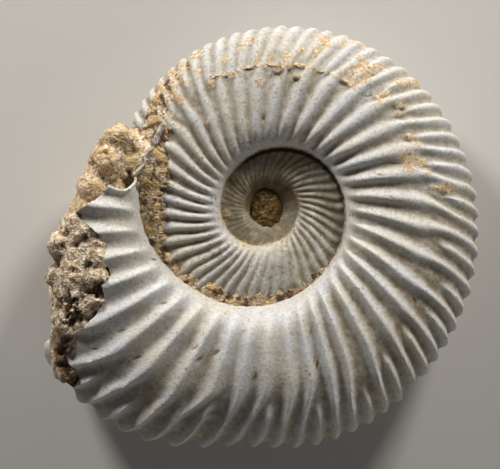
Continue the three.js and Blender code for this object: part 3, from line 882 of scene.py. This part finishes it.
specks = OLD_SPECKS * smooth(-turn, *OLD_SPECKS_TURNS) + swells(turn, TOP_SPECKS)
for name, values in (("grime_and_shadow", grime_and_shadow), ("dust_and_shade", dust_and_shade), ("sand", sand), ("specks", specks)):
    write_values(shell, name, values)
normals = np.array([v.normal for v in shell.data.vertices])
furrow_depth = RIB_HEIGHT_SHARE * venter_radius(np.maximum(turn, EARLIEST_FURROWS)) * valley
sand_depth = SAND_FILL * furrow_depth + SAND_THICKNESS + SAND_UNEVENNESS * fine_unevenness
write_points(shell, points + normals * (sand * sand_depth - PIT_DEPTH * pit)[:, None])
roughen(shell, SHELL_ROUGHNESS)

SMOOTH_ANGLE = 50
coil_frame = Matrix.Translation(Vector(COIL_PLACE) * MM)
for angle, axis in zip(REST_TILT, "XY"):
    coil_frame = coil_frame @ Matrix.Rotation(np.radians(angle), 4, axis)
coil_frame = coil_frame @ Matrix.Scale(MM, 4)


def finish_piece(piece, slot, *nodes):
    piece.data.transform(coil_frame)
    select_only(piece)
    bpy.ops.object.shade_smooth_by_angle(angle=np.radians(SMOOTH_ANGLE))
    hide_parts(*nodes)
    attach(piece, "root")


finish_piece(shell, "shell", "shell")


def linear(colour):
    """A hex colour as linear values."""
    parts = [int(colour[i : i + 2], 16) / 255 for i in (1, 3, 5)]
    return [p / 12.92 if p <= 0.04045 else ((p + 0.055) / 1.055) ** 2.4 for p in parts] + [1]


class Paint:
    """A material, with short ways to add nodes to it. A colour may be given in hex."""

    def __init__(self, name, roughness):
        self.material = bpy.data.materials.new(name)
        self.material.use_nodes = True
        self.surface = self.material.node_tree.nodes["Principled BSDF"]
        self.surface.inputs["Roughness"].default_value = roughness
        self.place = self.add("TexCoord").outputs["Object"]

    def add(self, kind, links=None, **settings):
        """A node with its settings. Each of links gives an input a value or another node's output."""
        tree = self.material.node_tree
        node = tree.nodes.new("ShaderNode" + kind)
        for key, value in settings.items():
            setattr(node, key, value)
        for socket, value in (links or {}).items():
            if isinstance(value, bpy.types.NodeSocket):
                tree.links.new(value, node.inputs[socket])
            else:
                node.inputs[socket].default_value = linear(value) if isinstance(value, str) else value
        return node

    def values(self, name):
        """What write_values left at the points under a name."""
        return self.add("Attribute", attribute_name=name).outputs["Fac"]

    def noise(self, size, octaves, roughness=0.5):
        """Noise from 0 to 1 whose lumps are about size wide, in metres."""
        links = {"Vector": self.place, "Scale": 1 / size, "Detail": octaves, "Roughness": roughness}
        return self.add("TexNoise", links).outputs["Fac"]

    def grains(self, size):
        """For grains of a size in metres: two random values for each, and the distance from its middle."""
        grains = self.add("TexVoronoi", {"Vector": self.place, "Scale": 1 / size})
        lots = self.add("SeparateColor", {0: grains.outputs["Color"]}).outputs
        return lots[0], lots[1], grains.outputs["Distance"]

    def remap(self, value, low, high, start=0, end=1):
        """From start to end while the value goes from low to high."""
        return self.add("MapRange", {0: value, 1: low, 2: high, 3: start, 4: end}).outputs[0]

    def math(self, operation, *values):
        return self.add("Math", dict(enumerate(values)), operation=operation).outputs[0]

    def mix(self, share, first, second):
        return self.add("Mix", {0: share, 6: first, 7: second}, data_type="RGBA").outputs[2]

    def cover(self, pieces, colour, height, strength, depth):
        """Puts the material on the pieces, with this colour, and a bump from a height."""
        bump = self.add("Bump", {"Height": height, "Strength": strength, "Distance": depth})
        links = self.material.node_tree.links
        links.new(colour, self.surface.inputs["Base Color"])
        links.new(bump.outputs[0], self.surface.inputs["Normal"])
        for piece in pieces:
            piece.data.materials.clear()
            piece.data.materials.append(self.material)


# The shell's finish is chalk-white calcite, weathered dull. From below: pale and grey grain, brown dust and
# painted shade in the furrows and umbilicus, flecks and loose grains, ochre sand where it clings, and brown
# to black grime, with painted shadow in the upper seam.
chalk = Paint("weathered chalky calcite", 0.65)
mottle = chalk.noise(0.0018, 5, 0.65)
grain = chalk.noise(0.0006, 3, 0.7)
chalk_dust_and_shade = chalk.values("dust_and_shade")
chalk_grime_and_shadow = chalk.values("grime_and_shadow")
dust_and_shade_share = chalk.math("MULTIPLY", chalk_dust_and_shade, chalk.remap(mottle, 0.3, 0.62, 0.5, 1.15))
flecks = chalk.math("MULTIPLY_ADD", chalk.noise(0.006, 2), 0.4, chalk.noise(0.0006, 3, 0.6))
flecks = chalk.math("ADD", flecks, chalk.values("specks"))
loose_grains = chalk.math("MULTIPLY_ADD", chalk_dust_and_shade, 0.07, chalk.grains(0.00042)[0])
ochre = chalk.mix(chalk.remap(grain, 0.5, 0.36), "#C6A574", "#EADFC6")
ochre = chalk.mix(chalk.remap(grain, 0.56, 0.66, 0, 0.8), ochre, "#6E5230")
sandy = chalk.math("MULTIPLY_ADD", mottle, 1.6, chalk.values("sand"))
colour = chalk.mix(chalk.remap(chalk.noise(0.008, 3), 0.4, 0.6), "#DCDDDE", "#E0DBD0")
for share, layer in (
    # Brown dust, with painted shade in the furrows and the umbilicus.
    (dust_and_shade_share, "#8B7D60"),
    (chalk.remap(grain, 0.44, 0.68, 0, 0.45), "#908A7E"),
    (chalk.remap(flecks, 0.87, 0.96, 0, 0.6), "#6B5136"),
    (chalk.remap(loose_grains, 0.985, 1, 0, 0.35), "#8A6C44"),
    (chalk.remap(sandy, 1.2, 1.6, 0, 0.85), ochre),
    # Grime, rust and pits in brown; the near black is mostly the painted shadow in the upper seam.
    (chalk.remap(chalk_grime_and_shadow, 0.05, 0.5, 0, 0.75), "#7A5D40"),
    (chalk.remap(chalk_grime_and_shadow, 0.45, 0.9, 0, 0.95), "#1E1812"),
):
    colour = chalk.mix(share, colour, layer)
chalk.cover([shell], colour, chalk.math("ADD", grain, mottle), 0.45, 0.00025)

# The sandstone: the sand that filled the body chamber, cemented and broken off rough, with more of it
# in the groove beside the last whorl. Balls are drawn out along the coil, fused by a voxel remesh,
# then roughened with displacements of three sizes and pitted at listed places.
FILL_FROM = 135
FILL_TO = 213
FILL_INNER = [52.4, 47.0, 37.0, 36.0, 34.4, 36.2, 33.0, 26.0, 25.6, 25.6, 26.0]
FILL_OUTER = [54.0, 53.4, 48.8, 46.0, 43.2, 41.4, 38.0, 36.8, 35.8, 35.0, 29.5]
FILL_HALF = [4.0, 9.5, 12.0, 12.6, 12.7, 12.0, 9.6, 8.4, 8.2, 8.0, 4.0]
FILL_OUTER_POWER = 2.6
FILL_INNER_POWER = 8
FILL_UNDER_SHELL = 2.5
FILL_BEFORE = 1
FILL_AFTER = 2
FILL_BLUNTNESS = 12
FILL_GRID = (64, 120)
STONE_VOXEL = 0.34


def fill_point(along, direction):
    turn = lerp(FILL_FROM - FILL_BEFORE, FILL_TO + FILL_AFTER, along)
    stations = np.linspace(FILL_FROM, FILL_TO, len(FILL_INNER))
    inner = np.interp(turn, stations, FILL_INNER) - FILL_UNDER_SHELL
    outer = np.interp(turn, stations, FILL_OUTER)
    half = np.interp(turn, stations, FILL_HALF)
    cosine = np.cos(np.radians(direction))
    sine = np.abs(np.sin(np.radians(direction)))
    power = np.where(cosine > 0, FILL_OUTER_POWER, FILL_INNER_POWER)
    size = (np.abs(cosine) / ((outer - inner) / 2)) ** power + (sine / half) ** power
    skin = size ** (-1 / power) * blunt(along, FILL_BLUNTNESS)
    return on_coil(turn, (inner + outer) / 2 + skin * cosine, skin * np.sin(np.radians(direction)))


# Lumps on the fill: X, Y, Z and reach.
LUMPS = [
    (-33.4, -10.6, 11.0, 2.7), (-33.0, -14.8, 11.2, 2.7), (-34.8, -5.6, 10.8, 2.5), (-36.2, -20.4, 9.8, 2.6),
    (-33.0, -7.6, 10.8, 2.2), (-33.8, -18.6, 11.0, 2.2),
    (-39.4, -8.0, 8.0, 3.6), (-40.0, -14.0, 6.5, 3.4), (-31.0, 8.6, 7.6, 3.4), (-34.4, 3.4, 8.0, 3.0),
    (-29.0, 13.0, 6.6, 3.2), (-40.0, -25.0, 5.0, 2.6), (-39.0, -33.0, 6.0, 2.2),
]
# Hollows in its upper side: X, Y and reach.
HOLLOWS = [
    (-38.6, -19.8, 2.3), (-39.3, -5.6, 1.0), (-40.1, -8.5, 0.9), (-34.8, -11.8, 0.9), (-35.4, -6.4, 0.9),
    (-34.8, -17.2, 0.9), (-39.4, -36.4, 1.3), (-40.3, -29.0, 1.2), (-39.0, -32.6, 1.1),
    (-27.2, 5.0, 1.7), (-36.4, -1.2, 1.0), (-37.5, -13.0, 0.8), (-31.5, 10.4, 0.8), (-36.2, -22.6, 1.2),
    (-32.8, -17.0, 1.7), (-38.4, -22.2, 2.0), (-32.0, -6.4, 0.8),
    (-39.6, -27.4, 1.1), (-39.0, -30.4, 1.2), (-38.6, -34.2, 1.2), (-40.6, -31.4, 0.9),
    (-41.0, -4.4, 0.9), (-37.4, -7.8, 0.8), (-41.4, -12.0, 0.9), (-34.6, 8.6, 1.2), (-32.8, 12.2, 0.9),
]
HOLLOW = (0.9, 0.1, 1.2)
HOLLOW_UNEVENNESS = 0.8
# The rough channel low on the left, as X and Y. It and the deeper hollows are darkened as painted shade.
CHANNEL = [(-40.4, -26.4), (-39.9, -29.0), (-39.4, -32.0), (-38.4, -35.6)]
CHANNEL_SHADE = (0.9, 1.2, 3.04)
HOLLOW_SHADE = 0.6
HOLLOW_SHADE_DEPTHS = (0.25, 1.1)
# The sand is golden towards the top of the photo's view, with a ragged border.
LEAST_GOLD = 0.1
MORE_GOLD = 0.28
GOLD_BORDER = (-6, 5)
GOLD_BORDER_UNEVENNESS = 5
STONE_PATCHES = 1.3
STONE_LUMPS = [(4, 1.8)]
STONE_ROUGHNESS = [(1.3, 0.5), (0.5, 0.25)]
lumps = [add_lump(*lump) for lump in LUMPS]
sandstone = join(add_drawn_ball("sandstone_fill", *FILL_GRID, fill_point), *lumps)
apply_modifier(sandstone, "REMESH", mode="VOXEL", voxel_size=STONE_VOXEL)
roughen(sandstone, STONE_LUMPS)
points = read_points(sandstone)
normals = np.array([v.normal for v in sandstone.data.vertices])
uneven = HOLLOW_UNEVENNESS * patchiness(points, STONE_PATCHES)
hollow = np.zeros(len(points))
for x, y, reach in HOLLOWS:
    hollow = np.maximum(hollow, reach * fading(distance_from(points, x, y) / reach + uneven, *HOLLOW))
hollow = hollow * (points[:, 2] > 0)
write_points(sandstone, points - normals * hollow[:, None])
roughen(sandstone, STONE_ROUGHNESS)
points = read_points(sandstone)
stone_noise = patchiness(points, STONE_PATCHES)
gold_place = points[:, 1] + GOLD_BORDER_UNEVENNESS * stone_noise
# Painted shade: the channel and the deeper hollows are darkened through the dark values.
channel_shade = fading(distance_to_line(points, CHANNEL) + HOLLOW_UNEVENNESS * stone_noise, *CHANNEL_SHADE)
hollow_shade = HOLLOW_SHADE * smooth(hollow, *HOLLOW_SHADE_DEPTHS)
write_values(sandstone, "golden", LEAST_GOLD + MORE_GOLD * smooth(gold_place, *GOLD_BORDER))
write_values(sandstone, "dark", np.maximum(channel_shade, hollow_shade))

# Sand in the seam: a low bank of it lies along the foot of the last whorl on both sides. It is level
# with the rib crests by the wall and dips below them inwards, so that it runs out between the ribs.
BANK_COLUMNS = 440
BANK_ROWS = 20
BANK_TURNS = [33, 60, 90, 120, 150, 157, 163, 174, 185, 193, 204, 215, 224, 236, 243]
BANK_INNER = [16.5, 16.9, 17.9, 19.1, 21.3, 21.6, 20.9, 20.1, 20.3, 19.6, 21.2, 24.0, 27.2, 30.6, 32.2]
BANK_OUTER = [17.9, 19.1, 20.8, 22.3, 24.0, 24.5, 24.9, 25.4, 25.8, 26.0, 26.6, 28.9, 30.6, 32.0, 32.6]
BANK_CRESTS = [0.0, 0.25, 0.4, 0.5, 0.6, 0.8, 0.9, 1.0, 1.0, 1.0, 0.7, 0.4, 0.15, 0.0, -0.3]
BANK_EDGES = [0.5, 0.5, 0.45, 0.45, 0.4, 0.3, 0.12, 0.1, 0.1, 0.1, 0.1, 0.15, 0.25, 0.3, 0.3]
BANK_DIP = 0.5
BANK_DEPTH = 1.8
BANK_RAG = 1.1
BANK_RAG_LENGTH = 7
# The shares of the rows, and of the width, over which the underside of the bank drops to its depth.
BANK_DROP_ROWS = 1.3
BANK_DROP_WIDTH = 0.2
BANK_ROUGHNESS = [(1.8, 0.55), (0.5, 0.22)]
BANK_PATCHES = 1.5
BANK_GOLD = 0.4
BANK_GOLD_UNEVENNESS = 0.3
BANK_DARK = (-0.05, 0.4)


def bank_point(side, column, row):
    """Rows go over the bank's top from its inner edge to the wall, and back underneath."""
    share = np.minimum(row, 2 * BANK_ROWS - row) / BANK_ROWS
    turn = lerp(BANK_TURNS[0], BANK_TURNS[-1], column / BANK_COLUMNS)
    rag = np.array([fractal((t / BANK_RAG_LENGTH, side, 0.5), 0.7, 4) for t in turn])
    inner = np.interp(turn, BANK_TURNS, BANK_INNER) + BANK_RAG * rag
    radius = lerp(inner, np.interp(turn, BANK_TURNS, BANK_OUTER), share)
    crest = np.interp(turn, BANK_TURNS, BANK_CRESTS)
    under = BANK_DEPTH * smooth(row, BANK_ROWS, BANK_DROP_ROWS * BANK_ROWS)
    under = under * smooth(share, 0, BANK_DROP_WIDTH)
    lift = lerp(-BANK_DIP, crest, share ** np.interp(turn, BANK_TURNS, BANK_EDGES)) - under
    return whorl_point(turn - 360, direction_at(turn - 360, radius), side, lift, 1)


def add_bank(name, side):
    bank = add_ribbon(name, BANK_COLUMNS, 2 * BANK_ROWS, lambda column, row: bank_point(side, column, row))
    roughen(bank, BANK_ROUGHNESS)
    patches = patchiness(read_points(bank), BANK_PATCHES)
    write_values(bank, "golden", BANK_GOLD + BANK_GOLD_UNEVENNESS * patches)
    write_values(bank, "dark", smooth(-patches, *BANK_DARK))
    return bank


sandstone = join(sandstone, add_bank("bank_upper", 1), add_bank("bank_lower", -1))
finish_piece(sandstone, "sandstone", "body_chamber_sandstone")


def cover_with_sand(pieces, name, grain_size, colours):
    """Cemented sand: pale and dark grains in a mottled ground, partly golden, with painted shade in its
    hollows.
    """
    first_ground, second_ground, pale, dark, shade_colour = colours
    stone = Paint(name, 0.9)
    first_lot, second_lot, from_middle = stone.grains(grain_size)
    patches = stone.noise(0.003, 4)
    mottle = stone.noise(0.0014, 5, 0.65)
    gilding = stone.math("MULTIPLY", stone.values("golden"), stone.remap(patches, 0.42, 0.6, 1.9, 0.1))
    cavity_shade = stone.add("NewGeometry").outputs["Pointiness"]
    colour = stone.mix(stone.remap(patches, 0.4, 0.6), first_ground, second_ground)
    for share, layer in (
        (stone.remap(first_lot, 0.45, 0.85, 0, 0.75), pale),
        (stone.remap(second_lot, 0.7, 0.85, 0, 0.7), dark),
        (stone.remap(mottle, 0.38, 0.5, 0.8, 0), dark),
        (gilding, "#D3B076"),
        # The dark values: painted shade in the sandstone's channel and hollows, dark patches on the banks.
        (stone.values("dark"), dark),
        # Painted shade where the skin is hollow, found by its pointiness.
        (stone.remap(cavity_shade, 0.38, 0.48, 0.85, 0), shade_colour),
    ):
        colour = stone.mix(share, colour, layer)
    stone.cover(pieces, colour, stone.math("ADD", from_middle, mottle), 0.7, 0.00028)


# Two grounds, pale grains, dark grains, and the colour of the painted shade in hollows.
STONE_COLOURS = ("#DCCAB2", "#C9AC88", "#FAF2E2", "#5E452A", "#2B1F13")
cover_with_sand([sandstone], "cemented tan sand", 0.0005, STONE_COLOURS)

# The plugs: darker, coarser sand packed into the umbilicus on each side, as a low oval mound each.
PLUG_PLACE = (0.3, -1.4, 1.4)
PLUG_REACH = (3.3, 4.8, 1.4)
PLUG_LUMPS = [(1.2, 0.5)]
PLUG_GRAINS = [(0.5, 0.25)]
# Two grounds, pale grains, dark grains, and the colour of the painted shade in hollows.
PLUG_COLOURS = ("#7A5A2B", "#664A1F", "#94763F", "#3A2A17", "#1F150B")
plugs = []
for side, node in ((1, "umbilicus_plug_upper"), (-1, "umbilicus_plug_lower")):
    plug = add_lump(0, 0, 0, 1, 6)
    plug.name = node + "_sand"
    write_points(plug, read_points(plug) * PLUG_REACH + np.array(PLUG_PLACE) * (1, 1, side))
    roughen(plug, PLUG_LUMPS)
    roughen(plug, PLUG_GRAINS, "STUCCI")
    finish_piece(plug, "plug", node)
    plugs.append(plug)
cover_with_sand(plugs, "dark packed sand", 0.0006, PLUG_COLOURS)

# The stage: a plain pale floor, soft studio light that comes in low past the shell's top edge, and a
# camera that looks down along the coil's axis.
deselect_all()
bpy.ops.mesh.primitive_plane_add(size=4, location=(0, 0, 0))
floor = bpy.context.object
floor.name = "floor"
floor_paint = bpy.data.materials.new("floor paint")
floor_paint.use_nodes = True
floor_paint.node_tree.nodes["Principled BSDF"].inputs["Base Color"].default_value = linear("#D9D6D0")
floor.data.materials.append(floor_paint)

CAMERA_DISTANCE = 700
VIEW_MIDDLE = (-3, -5.9)
FRAME_WIDTH = 100
SENSOR_WIDTH = 36
LIGHT_DISTANCE = 0.8
coil_turn = coil_frame.to_3x3().normalized().to_4x4()
target = coil_frame @ Vector((*VIEW_MIDDLE, 0))
camera_data = bpy.data.cameras.new("camera")
camera = bpy.data.objects.new("camera", camera_data)
bpy.context.scene.collection.objects.link(camera)
back = Matrix.Translation((0, 0, CAMERA_DISTANCE * MM))
camera.matrix_world = Matrix.Translation(target) @ coil_turn @ back
camera_data.sensor_width = SENSOR_WIDTH
camera_data.lens = SENSOR_WIDTH * CAMERA_DISTANCE / FRAME_WIDTH
camera_data.clip_end = 10
bpy.context.scene.camera = camera
bpy.context.scene.view_settings.view_transform = "Standard"


def add_light(name, azimuth, elevation, size, power, colour):
    """A square soft light that faces the object, with its angles in degrees."""
    light_data = bpy.data.lights.new(name, "AREA")
    light_data.size = size
    light_data.energy = power
    light_data.color = linear(colour)[:3]
    light = bpy.data.objects.new(name, light_data)
    across, up = np.radians(azimuth), np.radians(elevation)
    direction = Vector((np.cos(up) * np.cos(across), np.cos(up) * np.sin(across), np.sin(up)))
    light.location = LIGHT_DISTANCE * direction
    light.rotation_euler = light.location.to_track_quat("Z", "Y").to_euler()
    bpy.context.scene.collection.objects.link(light)


add_light("key_right", 60, 20, 0.16, 5.8, "#FFFCF8")
add_light("key_left", 125, 21, 0.16, 5.2, "#FFFDFB")
add_light("fill", 300, 28, 0.5, 0.75, "#F6F3EA")
world = bpy.data.worlds.new("studio")
bpy.context.scene.world = world
world.use_nodes = True
world.node_tree.nodes["Background"].inputs["Color"].default_value = linear("#E6EAF2")
world.node_tree.nodes["Background"].inputs["Strength"].default_value = 0.05
